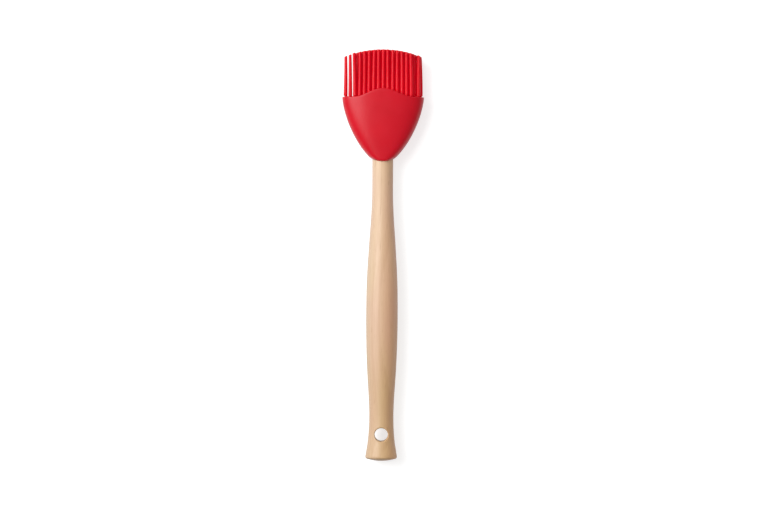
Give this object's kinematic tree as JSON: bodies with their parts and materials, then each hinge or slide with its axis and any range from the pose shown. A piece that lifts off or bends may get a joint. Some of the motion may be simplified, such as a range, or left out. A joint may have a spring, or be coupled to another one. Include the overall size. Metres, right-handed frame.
{
  "type": "pastry brush",
  "caption": "Basting brush with a turned wooden handle, a hanging hole and a pull-off silicone head holding rows of tapered silicone bristles.",
  "frame": {"origin": "centre of the bounding box's bottom face, on the surface that the brush lies on", "axes": "+Y along the brush towards the bristle tips, +Z out of the front of the head, +X to the right when seen from the front with the bristles up"},
  "size_m": [0.0532, 0.267, 0.0206],
  "materials": {
    "beech": "unvarnished, fine sanded beech",
    "core_nylon": "natural nylon, as moulded",
    "shell_silicone": "satin red silicone",
    "carrier_nylon": "red nylon, as moulded",
    "bristle_silicone": "satin red silicone, slightly translucent"
  },
  "bodies": {
    "handle": {"handle": "beech"},
    "head": {"socket_core": "core_nylon", "head_shell": "shell_silicone", "bristle_carrier": "carrier_nylon"},
    "row_1": {"bristle_row_1": "bristle_silicone"},
    "row_2": {"bristle_row_2": "bristle_silicone"},
    "row_3": {"bristle_row_3": "bristle_silicone"},
    "row_4": {"bristle_row_4": "bristle_silicone"},
    "row_5": {"bristle_row_5": "bristle_silicone"}
  },
  "joints": [
    {"name": "head_pull_off", "type": "slide", "parent": "handle", "child": "head", "axis": [0, 1, 0], "range_m": [0, 0.031]},
    {"name": "row_1_bend", "type": "hinge", "parent": "head", "child": "row_1", "pos_m": [0, 0.1016, 0.0157], "axis": [1, 0, 0], "range_deg": [-18, 18], "stiffness_Nm_per_rad": 0.0052},
    {"name": "row_2_bend", "type": "hinge", "parent": "head", "child": "row_2", "pos_m": [0, 0.1016, 0.013], "axis": [1, 0, 0], "range_deg": [-18, 18], "stiffness_Nm_per_rad": 0.0056},
    {"name": "row_3_bend", "type": "hinge", "parent": "head", "child": "row_3", "pos_m": [0, 0.1016, 0.0103], "axis": [1, 0, 0], "range_deg": [-18, 18], "stiffness_Nm_per_rad": 0.0068},
    {"name": "row_4_bend", "type": "hinge", "parent": "head", "child": "row_4", "pos_m": [0, 0.1016, 0.0076], "axis": [1, 0, 0], "range_deg": [-18, 18], "stiffness_Nm_per_rad": 0.0056},
    {"name": "row_5_bend", "type": "hinge", "parent": "head", "child": "row_5", "pos_m": [0, 0.1016, 0.0049], "axis": [1, 0, 0], "range_deg": [-18, 18], "stiffness_Nm_per_rad": 0.0052}
  ],
  "couplings": [
    {"joint": "row_1_bend", "follows": "row_3_bend", "ratio": 1},
    {"joint": "row_2_bend", "follows": "row_3_bend", "ratio": 1},
    {"joint": "row_4_bend", "follows": "row_3_bend", "ratio": 1},
    {"joint": "row_5_bend", "follows": "row_3_bend", "ratio": 1}
  ]
}
